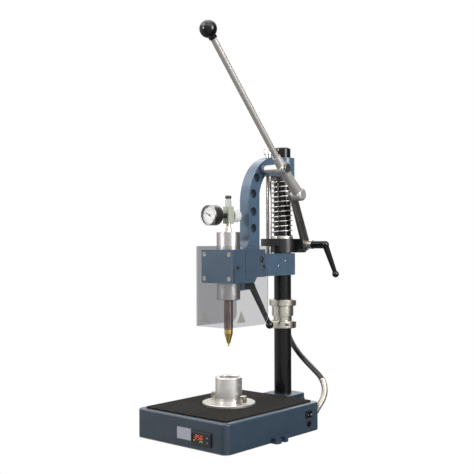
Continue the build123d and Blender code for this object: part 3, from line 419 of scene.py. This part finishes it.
class PRESS_OT_stage(bpy.types.Operator):
    """Sets up the camera, the floor, the backdrop and the studio lamps"""
    bl_idname = "press.stage"
    bl_label = "Stage"

    def execute(self, context):
        camera = bpy.data.objects.new("camera", bpy.data.cameras.new("camera"))
        camera.location = CAMERA_PLACE
        camera.rotation_euler = [math.radians(a) for a in CAMERA_TURN]
        camera.data.lens = CAMERA_LENS
        camera.data.sensor_width = 36
        context.scene.collection.objects.link(camera)
        context.scene.camera = camera
        self.floor(context)
        self.lamps(context)
        self.world(context)
        context.scene.view_settings.view_transform = "Standard"
        return {"FINISHED"}

    def floor(self, context):
        material = bpy.data.materials.new("studio_floor")
        material.use_nodes = True
        tree = material.node_tree
        tree.nodes.clear()
        place = add(tree, "ShaderNodeTexCoord").outputs["Object"]
        cloud = add(tree, "ShaderNodeTexNoise", {"Scale": 3.0}, Vector=place)
        tone = add(tree, "ShaderNodeMapRange", {"To Min": 0.4, "To Max": 0.44}, Value=cloud.outputs["Fac"])
        paper = add(tree, "ShaderNodeBsdfDiffuse", Color=tone.outputs["Result"])
        rays = add(tree, "ShaderNodeLightPath")
        # The floor's glow is dimmed behind clear sheets as painted shade.
        glow = add(tree, "ShaderNodeEmission", Strength=self.backdrop(tree, rays))
        seen = add(tree, "ShaderNodeMath", {"operation": "MAXIMUM"}, _0=rays.outputs["Is Camera Ray"],
                   _1=rays.outputs["Is Transmission Ray"])
        lit = add(tree, "ShaderNodeMixShader", _0=seen.outputs["Value"], _1=paper.outputs["BSDF"],
                  _2=glow.outputs["Emission"])
        mix = add(tree, "ShaderNodeMixShader", _0=rays.outputs["Is Glossy Ray"], _1=lit.outputs["Shader"],
                  _2=add(tree, "ShaderNodeBsdfTransparent").outputs["BSDF"])
        add(tree, "ShaderNodeOutputMaterial", Surface=mix.outputs["Shader"])
        bm = bmesh.new()
        slab(bm, rectangle(0, 0, 8, 8), Vector((0, 0, -0.0005)), Vector((1, 0, 0)), Vector((0, 1, 0)), 0.01)
        floor = piece_from("floor", bm, material, None)

    def stops(self, ramp, values):
        """Fills a colour ramp with greys: (position, brightness)."""
        elements = ramp.color_ramp.elements
        for i, (position, light) in enumerate(values):
            stop = elements[i] if i < 2 else elements.new(1.0)
            stop.position = position
            stop.color = (light, light, light, 1)

    def backdrop(self, tree, rays):
        """The white of the paper, greyer behind each clear sheet: painted shade, as if the studio wall got less light
        there.
        """
        return add(tree, "ShaderNodeMapRange", {"From Max": 4.0, "To Min": 1.0, "To Max": 0.45},
                   Value=rays.outputs["Transparent Depth"]).outputs["Result"]

    def lamps(self, context):
        target = Vector((0, 0.05, 0.5))
        for name, place, size, power, spread in (
                ("key_softbox", (-0.5, -1.2, 1.8), (0.9, 0.9), 8, 180),
                ("front_softbox", (-0.45, -1.25, 0.8), (0.4, 0.5), 0.9, 40),
                ("side_softbox", (1.9, 0.1, 1.0), (0.8, 1.2), 36, 180),
                ("top_softbox", (0.0, 0.0, 1.9), (1.2, 1.2), 12, 180),
                ("back_softbox", (-0.6, 2.2, 1.2), (1.6, 1.4), 12, 180)):
            lamp = bpy.data.lights.new(name, "AREA")
            lamp.spread = math.radians(spread)
            lamp.shape = "RECTANGLE"
            lamp.size, lamp.size_y = size
            lamp.energy = power
            piece = bpy.data.objects.new(name, lamp)
            piece.location = place
            piece.rotation_euler = (target - Vector(place)).to_track_quat("-Z", "Y").to_euler()
            context.scene.collection.objects.link(piece)

    def world(self, context):
        world = context.scene.world or bpy.data.worlds.new("studio")
        context.scene.world = world
        world.use_nodes = True
        tree = world.node_tree
        tree.nodes.clear()
        rays = add(tree, "ShaderNodeLightPath")
        direct = add(tree, "ShaderNodeMath", {"operation": "MAXIMUM"}, _0=rays.outputs["Is Camera Ray"],
                     _1=rays.outputs["Is Transmission Ray"])
        way = add(tree, "ShaderNodeSeparateXYZ",
                  Vector=add(tree, "ShaderNodeTexCoord").outputs["Generated"])
        turn = add(tree, "ShaderNodeMath", {"operation": "ARCTAN2"}, _0=way.outputs["Y"], _1=way.outputs["X"])
        round_room = add(tree, "ShaderNodeMapRange", {"From Min": -math.pi, "From Max": math.pi},
                         Value=turn.outputs["Value"])
        panels = add(tree, "ShaderNodeValToRGB", Fac=round_room.outputs["Result"])
        self.stops(panels, [((degrees + 180) / 360, light) for degrees, light in PANELS])
        climb = add(tree, "ShaderNodeMapRange", {"From Min": -1.0}, Value=way.outputs["Z"])
        height = add(tree, "ShaderNodeValToRGB", Fac=climb.outputs["Result"])
        self.stops(height, HEIGHTS)
        strength = add(tree, "ShaderNodeMath", {"operation": "MULTIPLY"}, _0=height.outputs["Color"])
        strength.inputs[1].default_value = RING_LIGHT
        glossy = add(tree, "ShaderNodeBackground", Color=panels.outputs["Color"],
                     Strength=strength.outputs["Value"])
        soft = add(tree, "ShaderNodeBackground", {"Color": (0.92, 0.95, 1, 1), "Strength": 0.3})
        # The white seen by the camera, dimmed behind clear sheets as painted shade.
        white = add(tree, "ShaderNodeBackground", {"Color": (1, 1, 1, 1)},
                    Strength=self.backdrop(tree, rays))
        inner = add(tree, "ShaderNodeMixShader", _0=rays.outputs["Is Glossy Ray"],
                    _1=soft.outputs["Background"], _2=glossy.outputs["Background"])
        outer = add(tree, "ShaderNodeMixShader", _0=direct.outputs["Value"], _1=inner.outputs["Shader"],
                    _2=white.outputs["Background"])
        add(tree, "ShaderNodeOutputWorld", Surface=outer.outputs["Shader"])


# ---- cable -------------------------------------------------------------------------------
CABLE_ROUTE = [
    (104.6, 170.1, 43.1), (108.4, 173.6, 51.0), (111.0, 178.5, 61.0), (110.5, 185.0, 73.5),
    (104.5, 190.5, 88.0), (91.5, 195.5, 101.5), (71.5, 199.5, 114.0), (46.0, 205.5, 128.5),
    (18.0, 214.5, 145.0), (-6.0, 222.0, 164.0), (-22.0, 226.0, 189.0), (-29.5, 228.0, 220.0),
    (-28.5, 228.0, 254.0), (-31.0, 226.5, 288.0), (-29.5, 226.0, 322.0), (-30.0, 226.0, 350.0),
    (-30.0, 226.0, 374.0),
]


def route_line():
    """The cable's centre line, read from a smooth spline through the route's control points."""
    data = bpy.data.curves.new("cable_route", "CURVE")
    data.dimensions = "3D"
    data.resolution_u = 10
    spline = data.splines.new("NURBS")
    spline.points.add(len(CABLE_ROUTE) - 1)
    for point, place in zip(spline.points, CABLE_ROUTE):
        point.co = [c * MM for c in place] + [1]
    spline.order_u = 3
    spline.use_endpoint_u = True
    holder = bpy.data.objects.new("cable_route", data)
    bpy.context.scene.collection.objects.link(holder)
    bpy.context.view_layer.update()
    mesh = bpy.data.meshes.new_from_object(holder)
    line = [v.co.copy() for v in mesh.vertices]
    bpy.data.objects.remove(holder)
    bpy.data.meshes.remove(mesh)
    return line


class PRESS_OT_cable(bpy.types.Operator):
    """Makes the heater's cable with its metal sleeve above the gland"""
    bl_idname = "press.cable"
    bl_label = "Cable"

    def execute(self, context):
        values = settings()[2]
        line = route_line()
        radius = values.diameter / 2
        cable = piece_from("cable_sleeve", tube_along(line, lambda s: radius), sleeve(), None, smooth=True)
        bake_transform(cable)
        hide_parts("cable")
        self.armour(line, radius, values.armour_length)
        return {"FINISHED"}

    def armour(self, line, radius, length):
        """A close-wound metal conduit over the first stretch."""
        steps = []
        travelled = 0.0
        for a, b in zip(line, line[1:]):
            span = (b - a).length
            count = max(1, round(span / (0.5 * MM)))
            for k in range(count):
                if travelled + span * k / count < length:
                    steps.append(a.lerp(b, k / count))
            travelled += span
        pitch = 2.4 * MM
        bm = tube_along(steps, lambda s: radius + 0.35 * MM + 0.3 * MM * math.cos(2 * math.pi * s / pitch))
        piece_from("cable_armour", bm, nickel_sleeve(), "base", smooth=True)


# Zinc-plated conduit: dull bright metal with a yellowish cast.
def nickel_sleeve():
    return finish_material("zinc_conduit", linear("#b9b5ab"), 1.0, 0.36, spread=0.12, mottle=4 * MM,
                           grain=0.8 * MM, bump=0.2, bump_depth=0.05 * MM)


# ---- pieces ------------------------------------------------------------------------------
class PRESS_OT_base(bpy.types.Operator):
    """Finishes the base, its lugs, mat, cover and column foot"""
    bl_idname = "press.base"
    bl_label = "Base"

    def execute(self, context):
        edge = settings()[1].edge_round
        # Painted shade: the base's enamel is the head's colour at half brightness (depth 0.5).
        paint = enamel("base_enamel_painted_shade", depth=0.5, gloss=0.35)
        dress(paint, "base_housing")
        dress(paint, "bolt_down_lugs", "column_foot", bevel=edge)
        dress(mat_rubber(), "work_mat", bevel=0.5 * MM)
        zinc = turned("zinc_plate", "#a9a8a5", 0.35)
        dress(zinc, "base_cover_plate", "cover_screws", "column_foot_screw")
        dress(nickel(), "base_gland")
        dress(moulded("solder_mask", "#12401f"), "power_board")
        return {"FINISHED"}


class PRESS_OT_nest(bpy.types.Operator):
    """Finishes the nest and its two knurled screws"""
    bl_idname = "press.nest"
    bl_label = "Nest"

    def execute(self, context):
        dress(turned("turned_aluminium_flange", "#c4c0ba", 0.36, metallic=0.85), "nest_flange", bevel=0.4 * MM)
        dress(turned("turned_aluminium_tube", "#dedbd7", 0.3, metallic=0.9), "nest_tube", bevel=0.4 * MM)
        dress(nickel(), "nest_screw_left", "nest_screw_right")
        return {"FINISHED"}


class PRESS_OT_controls(bpy.types.Operator):
    """Finishes the controller, badge plate, switch, fuse and inlet, and adds their marks"""
    bl_idname = "press.controls"
    bl_label = "Controls"

    def execute(self, context):
        black = moulded("moulded_abs", "#17181a")
        dress(black, "controller_case", "switch_frame", "fuse_holder", "power_inlet", bevel=0.3 * MM)
        dress(moulded("soft_key", "#26282b", 0.6), "controller_key_lower", "controller_key_upper")
        dress(phenolic(), "switch_rocker", "fuse_cap")
        dress(moulded("smoked_acrylic", "#120606", 0.12), "controller_window")
        dress(turned("bare_steel_plate", "#b4b7c0", 0.4, axis=0, metallic=0.8), "badge_plate", bevel=0.2 * MM)
        self.display()
        self.key_arrows()
        self.switch_marks()
        return {"FINISHED"}

    def display(self):
        """Seven-segment digits, a small green set point and two lamps."""
        marks = settings()[1]
        low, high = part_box("controller_window")
        height = marks.digit_height
        self.digits("display_digits", marks.set_point, height, (low[0] + high[0]) / 2, high[2] - height * 0.62,
                    low[1], glowing("red_segments", "#ff5a3c", 1.0))
        self.digits("display_set_point", marks.set_point, height * 0.42, (low[0] + high[0]) / 2 + 6 * MM,
                    low[2] + height * 0.32, low[1], glowing("green_segments", "#a8d84a", 0.9))
        bm = bmesh.new()
        for dx in (3.2, 5.6):
            slab(bm, circle(0.7 * MM, 16), Vector((low[0] + dx * MM, low[1] - 0.08 * MM, low[2] + 3.4 * MM)),
                 Vector((1, 0, 0)), Vector((0, 0, 1)), 0.06 * MM)
        piece_from("display_lamps", bm, glowing("amber_lamps", "#ffb020", 1.0), "base")

    def digits(self, name, text, height, x, z, y, material):
        bm = bmesh.new()
        width, stroke = height * 0.52, height * 0.13
        lit = {"0": "abcdef", "1": "bc", "2": "abged", "3": "abgcd", "4": "fgbc", "5": "afgcd",
               "6": "afgedc", "7": "abc", "8": "abcdefg", "9": "abcdfg"}
        half_w, half_h = width / 2, height / 2
        bars = {"a": (0, half_h, 1), "g": (0, 0, 1), "d": (0, -half_h, 1),
                "f": (-half_w, half_h / 2, 0), "b": (half_w, half_h / 2, 0),
                "e": (-half_w, -half_h / 2, 0), "c": (half_w, -half_h / 2, 0)}
        step = width * 1.75
        for i, digit in enumerate(text):
            centre = (i - (len(text) - 1) / 2) * step
            for bar in lit.get(digit, ""):
                dx, dz, flat = bars[bar]
                long = (width if flat else half_h) - stroke * 1.15
                w, h = (long, stroke) if flat else (stroke, long)
                outline = rectangle(0, 0, w, h)
                slab(bm, outline, Vector((x + centre + dx, y - 0.08 * MM, z + dz)), Vector((1, 0, 0)),
                     Vector((0, 0, 1)), 0.06 * MM)
        return piece_from(name, bm, material, "base")

    def key_arrows(self):
        pale = moulded("pale_print", "#c9ccce", 0.5)
        for key, body, up in (("controller_key_upper", "key_upper", 1), ("controller_key_lower", "key_lower", -1)):
            low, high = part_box(key)
            bm = bmesh.new()
            size = 1.6 * MM
            slab(bm, [(-size, -size * 0.6 * up), (size, -size * 0.6 * up), (0, size * 0.8 * up)][::up],
                 Vector(((low[0] + high[0]) / 2, low[1] - 0.05 * MM, (low[2] + high[2]) / 2)),
                 Vector((1, 0, 0)), Vector((0, 0, 1)), 0.06 * MM)
            piece_from(key + "_arrow", bm, pale, body)

    def switch_marks(self):
        """An I and an O on the two halves of the tilted rocker."""
        low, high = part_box("switch_rocker")
        middle = (Vector(low) + Vector(high)) / 2
        tilt = math.radians(-8)
        across = Vector((-math.sin(tilt), math.cos(tilt), 0))
        out = Vector((math.cos(tilt), math.sin(tilt), 0))
        pivot = Vector((0.120, middle.y, middle.z))
        face = pivot + out * 4.06 * MM
        bm = bmesh.new()
        slab(bm, rectangle(0, 0, 0.6 * MM, 3 * MM), face - across * 4.6 * MM, across, Vector((0, 0, 1)), 0.05 * MM)
        ring_out, ring_in = circle(1.7 * MM, 32), circle(1.2 * MM, 32)
        centre = face + across * 4.6 * MM
        for i in range(32):
            j = (i + 1) % 32
            slab(bm, [ring_out[i], ring_out[j], ring_in[j], ring_in[i]], centre, across, Vector((0, 0, 1)), 0.05 * MM)
        piece_from("switch_marks", bm, moulded("switch_print", "#d8d8d4", 0.5), "rocker")


class PRESS_OT_column(bpy.types.Operator):
    """Finishes the column and the depth stop on it"""
    bl_idname = "press.column"
    bl_label = "Column and stop"

    def execute(self, context):
        dress(black_bar(), "column")
        metal = turned("plated_collar", "#bdb9ae", 0.26)
        dress(metal, "stop_lower_collar", "stop_sleeve", "stop_upper_collar", bevel=0.5 * MM)
        dress(brushed_bar(), "stop_collar_screw")
        return {"FINISHED"}


class PRESS_OT_clamp(bpy.types.Operator):
    """Finishes the clamp block, spring, link and clamp handle"""
    bl_idname = "press.clamp"
    bl_label = "Clamp and spring"

    def execute(self, context):
        dress(moulded("blacked_steel_block", "#161517", 0.3), "clamp_block", bevel=0.8 * MM)
        dress(turned("plated_washer", "#d4d0ca", 0.3), "spring_washer", bevel=0.4 * MM)
        dress(nickel(), "link_pin")
        dress(brushed_bar(), "link", bevel=0.7 * MM)
        dress(phenolic(), "clamp_handle")
        dress(spring_wire(), "return_spring")
        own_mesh(nodes["return_spring"])
        return {"FINISHED"}


class PRESS_OT_head(bpy.types.Operator):
    """Finishes the head casting, its cap, screws, bushes and guide rod"""
    bl_idname = "press.head"
    bl_label = "Head"

    def execute(self, context):
        paint = enamel()
        edge = settings()[1].edge_round
        dress(paint, "head_casting", "head_cap", bevel=edge)
        dress(nickel(), "head_screws")
        dress(brushed_bar(), "guard_screws")
        dress(bronze(), "head_bushes")
        dress(turned("ground_rod", "#8e8a88", 0.16), "guide_rod")
        dress(nickel(), "guide_rod_knob")
        dress(phenolic(), "lower_lock_handle")
        self.set_screws()
        return {"FINISHED"}

    def set_screws(self):
        """Two socket set screws in the right side of the arm, one of them in a milled slot."""
        side = 28 * MM
        # Near black for the set screws' sockets, the side screw's well and its washer: painted shade for the shade
        # inside the holes.
        bright, hole_shade = nickel(), moulded("painted_hole_shade", "#0c0c0d", 0.6)
        for name, y, z, r in (("set_screw_front", 132.6 * MM, 340.2 * MM, 2.6 * MM),
                              ("set_screw_back", 157.3 * MM, 350.5 * MM, 3.2 * MM)):
            middle = Vector((side, y, z))
            bm = spun([(0, -1 * MM), (r, -1 * MM), (r, 0.3 * MM), (r * 0.85, 0.5 * MM), (r * 0.5, 0.5 * MM),
                       (r * 0.5, 0.2 * MM), (0, 0.2 * MM)], middle, Vector((1, 0, 0)), 24)
            piece_from(name, bm, bright, "head")
            bm = spun([(0, 0.0), (r * 0.48, 0.0), (r * 0.48, 0.25 * MM), (0, 0.25 * MM)], middle,
                      Vector((1, 0, 0)), 6)
            piece_from(name + "_socket", bm, hole_shade, "head")
        low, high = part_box("head_casting")
        # The well's lining and washer are near black as painted shade.
        well = Vector((high[0], 56 * MM, 356 * MM))
        bm = spun([(6.45 * MM, -0.1 * MM), (6.45 * MM, -7.9 * MM), (4.6 * MM, -7.9 * MM), (4.6 * MM, -7.7 * MM),
                   (6.2 * MM, -7.7 * MM), (6.2 * MM, -0.1 * MM)], well, Vector((1, 0, 0)), 40)
        piece_from("side_screw_well_shade", bm, hole_shade, "head")
        bm = spun([(2.1 * MM, -2.1 * MM), (4.55 * MM, -2.1 * MM), (4.55 * MM, -1.8 * MM), (2.1 * MM, -1.6 * MM)],
                  well, Vector((1, 0, 0)), 32)
        piece_from("side_screw_washer", bm, hole_shade, "head")


class PRESS_OT_guard(bpy.types.Operator):
    """Makes the guard clear and adds its two blank triangular plates"""
    bl_idname = "press.guard"
    bl_label = "Guard"

    def execute(self, context):
        dress(polycarbonate(), "guard")
        low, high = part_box("guard")
        self.edges(low, high)
        plain = moulded("blank_label", "#8d8c86", 0.5)
        side = 27 * MM
        tall = side * math.sqrt(3) / 2
        triangle = [(-side / 2, 0), (side / 2, 0), (0, tall)]
        base = low[2] + 9 * MM
        bm = bmesh.new()
        slab(bm, triangle, Vector((low[0] + 0.3 * (high[0] - low[0]), low[1] - 0.1 * MM, base)),
             Vector((1, 0, 0)), Vector((0, 0, 1)), 0.08 * MM)
        piece_from("label_front", bm, plain, "head")
        bm = bmesh.new()
        slab(bm, triangle, Vector((high[0] + 0.1 * MM, low[1] + 0.32 * (high[1] - low[1]), base)),
             Vector((0, 1, 0)), Vector((0, 0, 1)), 0.08 * MM)
        piece_from("label_side", bm, plain, "head")
        return {"FINISHED"}

    def edges(self, low, high):
        """Gives the sheet's cut faces, up, down and at the back corners, their own finish."""
        mesh = nodes["guard"].data
        mesh.materials.append(sawn_edge())
        place = nodes["guard"].matrix_world
        for face in mesh.polygons:
            way = (place.to_3x3() @ face.normal).normalized()
            centre = place @ face.center
            if abs(way.z) > 0.6 or (way.y > 0.5 and centre.y > high[1] - 20 * MM):
                face.material_index = 1


class PRESS_OT_cylinder(bpy.types.Operator):
    """Finishes the air cylinder, heater barrel and brass tip"""
    bl_idname = "press.cylinder"
    bl_label = "Cylinder and tip"

    def execute(self, context):
        dress(turned("drawn_aluminium", "#aeaaa9", 0.34), "cylinder_tube", "cylinder_end_caps")
        dress(turned("heater_steel", "#7d7069", 0.32), "heater_barrel")
        dress(brushed_bar(), "piston")
        dress(brass(), "brass_tip")
        return {"FINISHED"}


class PRESS_OT_air(bpy.types.Operator):
    """Finishes the air fittings, regulator and gauge, and draws the gauge's dial"""
    bl_idname = "press.air"
    bl_label = "Air fittings"

    def execute(self, context):
        dress(nickel(), "air_fitting", bevel=0.3 * MM)
        dress(moulded("pale_nylon", "#a2a698", 0.5), "regulator_body", bevel=0.5 * MM)
        dress(moulded("white_acetal", "#d2d5cf", 0.4), "regulator_knob")
        dress(moulded("grey_fitting", "#a9aca6", 0.4), "inlet_fitting")
        dress(moulded("gauge_abs", "#1b1a1a", 0.35), "gauge_case", bevel=0.4 * MM)
        dress(lens_glass(), "gauge_lens")
        dress(moulded("needle_paint", "#141414", 0.5), "gauge_needle")
        self.dial()
        self.rim_and_collar()
        return {"FINISHED"}

    def rim_and_collar(self):
        """The gauge's pressed steel rim, and the black release collar of the push-in fitting."""
        low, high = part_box("gauge_case")
        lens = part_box("gauge_lens")
        centre = Vector(((lens[0][0] + lens[1][0]) / 2, low[1], (lens[0][2] + lens[1][2]) / 2))
        inner, outer = (lens[1][0] - lens[0][0]) / 2 - 0.3 * MM, (high[0] - low[0]) / 2 + 0.25 * MM
        bm = spun([(inner, 0.3 * MM), (inner + 0.6 * MM, -0.9 * MM), (outer - 0.7 * MM, -0.9 * MM),
                   (outer, -0.2 * MM), (outer, 4 * MM), (outer - 0.4 * MM, 4 * MM), (outer - 0.4 * MM, 0.3 * MM)],
                  centre, Vector((0, 1, 0)), 64)
        piece_from("gauge_rim", bm, turned("pressed_rim", "#8d8b8a", 0.3, axis=1), "head", smooth=True)
        low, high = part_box("inlet_fitting")
        top = Vector(((low[0] + high[0]) / 2, (low[1] + high[1]) / 2, high[2]))
        bm = spun([(2.2 * MM, -6 * MM), (5.9 * MM, -6 * MM), (6.5 * MM, -5 * MM), (6.5 * MM, -1.2 * MM),
                   (5.4 * MM, 0.3 * MM), (2.2 * MM, 0.3 * MM)], top, Vector((0, 0, 1)), 32)
        piece_from("inlet_collar", bm, moulded("release_collar", "#17181a", 0.4), "head",
                   smooth=True)

    def dial(self):
        low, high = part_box("gauge_lens")
        centre = Vector(((low[0] + high[0]) / 2, 0, (low[2] + high[2]) / 2))
        face_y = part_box("gauge_case")[0][1] + 3.9 * MM
        radius = (high[0] - low[0]) / 2 - 0.2 * MM
        across, up = Vector((1, 0, 0)), Vector((0, 0, 1))
        bm = bmesh.new()
        slab(bm, circle(radius, 64), centre + Vector((0, face_y, 0)), across, up, 0.3 * MM)
        piece_from("gauge_dial", bm, moulded("dial_enamel", "#ece9e6", 0.4), "head")
        ink = moulded("dial_ink", "#1a1a1c", 0.5)
        bm = bmesh.new()
        top = settings()[1].gauge_top
        steps = top * 5
        for i in range(steps + 1):
            turn = math.radians(225 - 270 * i / steps)
            major = i % 5 == 0
            long = (2.6 if major else 1.3) * MM
            wide = (0.5 if major else 0.25) * MM
            ray, tangent = Vector((math.cos(turn), 0, math.sin(turn))), Vector((math.sin(turn), 0, -math.cos(turn)))
            slab(bm, rectangle(0, 0, wide, long), centre + Vector((0, face_y - 0.1 * MM, 0))
                 + ray * (radius - 1.5 * MM - long / 2), tangent, ray, 0.05 * MM)
        piece_from("gauge_ticks", bm, ink, "head")
        for number in range(0, top + 1, 2):
            turn = math.radians(225 - 270 * number / top)
            text = bpy.data.curves.new(f"gauge_number_{number}", "FONT")
            text.body = str(number)
            text.size = 4.2 * MM
            text.align_x, text.align_y = "CENTER", "CENTER"
            text.extrude = 0.03 * MM
            text.materials.append(ink)
            piece = bpy.data.objects.new(f"gauge_number_{number}", text)
            piece.location = centre + Vector((math.cos(turn) * (radius - 6.6 * MM), face_y - 0.12 * MM,
                                              math.sin(turn) * (radius - 6.6 * MM)))
            piece.rotation_euler = (math.radians(90), 0, 0)
            bpy.context.scene.collection.objects.link(piece)
            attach(piece, "head")


class PRESS_OT_lever(bpy.types.Operator):
    """Finishes the lever, its shaft and its ball"""
    bl_idname = "press.lever"
    bl_label = "Lever"

    def execute(self, context):
        chrome = satin_chrome()
        dress(chrome, "lever_hub", bevel=0.6 * MM)
        dress(chrome, "lever_rod")
        dress(brushed_bar(), "lever_shaft")
        dress(phenolic(), "ball_knob")
        return {"FINISHED"}


class PRESS_PT_panel(bpy.types.Panel):
    """Lists the press's pieces in the sidebar"""
    bl_label = "Bench insertion press"
    bl_space_type = "VIEW_3D"
    bl_region_type = "UI"
    bl_category = "Press"

    def draw(self, context):
        for group in (context.scene.press_finish, context.scene.press_marks, context.scene.press_cable):
            box = self.layout.box()
            for name in group.__annotations__:
                box.prop(group, name)
        for operator in OPERATORS:
            self.layout.operator(operator.bl_idname)


OPERATORS = (PRESS_OT_stage, PRESS_OT_cable, PRESS_OT_base, PRESS_OT_nest, PRESS_OT_controls,
             PRESS_OT_column, PRESS_OT_clamp, PRESS_OT_head, PRESS_OT_guard, PRESS_OT_cylinder,
             PRESS_OT_air, PRESS_OT_lever)
GROUPS = {"press_finish": PressFinish, "press_marks": PressMarks, "press_cable": PressCable}


def register():
    for group in GROUPS.values():
        bpy.utils.register_class(group)
    for name, group in GROUPS.items():
        setattr(bpy.types.Scene, name, bpy.props.PointerProperty(type=group))
    for cls in OPERATORS + (PRESS_PT_panel,):
        bpy.utils.register_class(cls)


def unregister():
    for cls in reversed(OPERATORS + (PRESS_PT_panel,)):
        bpy.utils.unregister_class(cls)
    for name, group in GROUPS.items():
        delattr(bpy.types.Scene, name)
        bpy.utils.unregister_class(group)


def main():
    register()
    for operator in OPERATORS:
        group, name = operator.bl_idname.split(".")
        getattr(getattr(bpy.ops, group), name)()
    bpy.context.view_layer.update()


if __name__ == "__main__":
    main()
